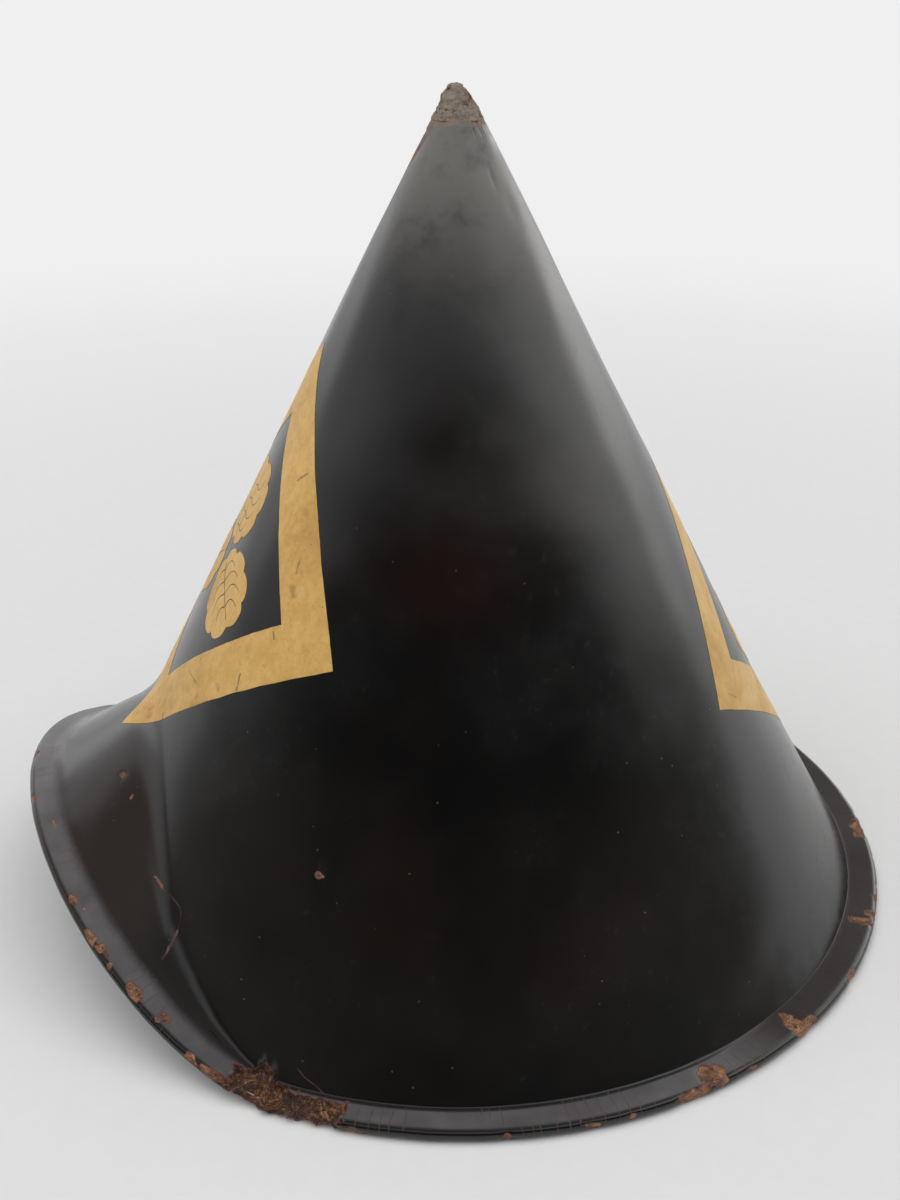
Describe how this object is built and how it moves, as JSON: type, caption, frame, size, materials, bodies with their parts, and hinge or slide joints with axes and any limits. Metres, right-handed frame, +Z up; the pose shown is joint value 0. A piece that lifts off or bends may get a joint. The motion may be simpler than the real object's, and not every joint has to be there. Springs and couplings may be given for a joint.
{
  "type": "conical hat",
  "caption": "Tall conical lacquered hat with a raised front visor, bound rim, painted square crests, and a head ring, cushion and hanging cord rings inside.",
  "frame": {"origin": "middle of the rim, on the plane that the rim rests on", "axes": "+Z up towards the point; the visor looks along -Y; +X is the side that is seen with the visor to the left"},
  "size_m": [0.3532, 0.3532, 0.3112],
  "materials": {
    "lacquer": "polished brown-black lacquer over moulded rawhide, aged",
    "rim_lacquer": "worn lacquer over wound cloth and hide strips, chipped at the edge",
    "gold_paint": "rubbed gold-ochre lacquer paint",
    "raw_core": "bare frayed hide and paper core",
    "cane": "bare cane",
    "red_lacquer": "thin red lacquer over cloth",
    "bent_wood": "bent bare wood, oiled by wear",
    "hide": "dark brown hide",
    "hemp_cloth": "undyed quilted hemp",
    "cushion_cloth": "madder-red quilted cotton",
    "iron": "dark forged iron",
    "aged_brass": "dull aged brass"
  },
  "bodies": {
    "hat": {"crown_shell": "lacquer", "visor": "lacquer", "rim_binding": "rim_lacquer", "rim_hoop": "cane", "tip_plug": "raw_core", "crown_lining": "red_lacquer", "visor_lining": "red_lacquer", "front_crest_frame": "gold_paint", "front_crest_leaves": "gold_paint", "rear_crest_frame": "gold_paint", "rear_crest_leaves": "gold_paint", "head_ring": "bent_wood", "ring_brackets": "hide", "sweatband": "hemp_cloth", "crown_cushion": "cushion_cloth", "staple_washers": "aged_brass", "staple_front_left": "iron", "staple_front_right": "iron", "staple_rear_left": "iron", "staple_rear_right": "iron"},
    "ring_front_left": {"cord_ring_front_left": "aged_brass"},
    "ring_front_right": {"cord_ring_front_right": "aged_brass"},
    "ring_rear_left": {"cord_ring_rear_left": "aged_brass"},
    "ring_rear_right": {"cord_ring_rear_right": "aged_brass"}
  },
  "joints": [
    {"name": "ring_front_left_swing", "type": "hinge", "parent": "hat", "child": "ring_front_left", "pos_m": [-0.11314, -0.05177, 0.05857], "axis": [0.4067, -0.9135, 0], "range_deg": [-35, 130]},
    {"name": "ring_front_right_swing", "type": "hinge", "parent": "hat", "child": "ring_front_right", "pos_m": [0.11314, -0.05177, 0.05857], "axis": [0.4067, 0.9135, 0], "range_deg": [-35, 130]},
    {"name": "ring_rear_left_swing", "type": "hinge", "parent": "hat", "child": "ring_rear_left", "pos_m": [-0.09759, 0.07485, 0.05857], "axis": [-0.6157, -0.788, 0], "range_deg": [-35, 130]},
    {"name": "ring_rear_right_swing", "type": "hinge", "parent": "hat", "child": "ring_rear_right", "pos_m": [0.09759, 0.07485, 0.05857], "axis": [-0.6157, 0.788, 0], "range_deg": [-35, 130]}
  ]
}
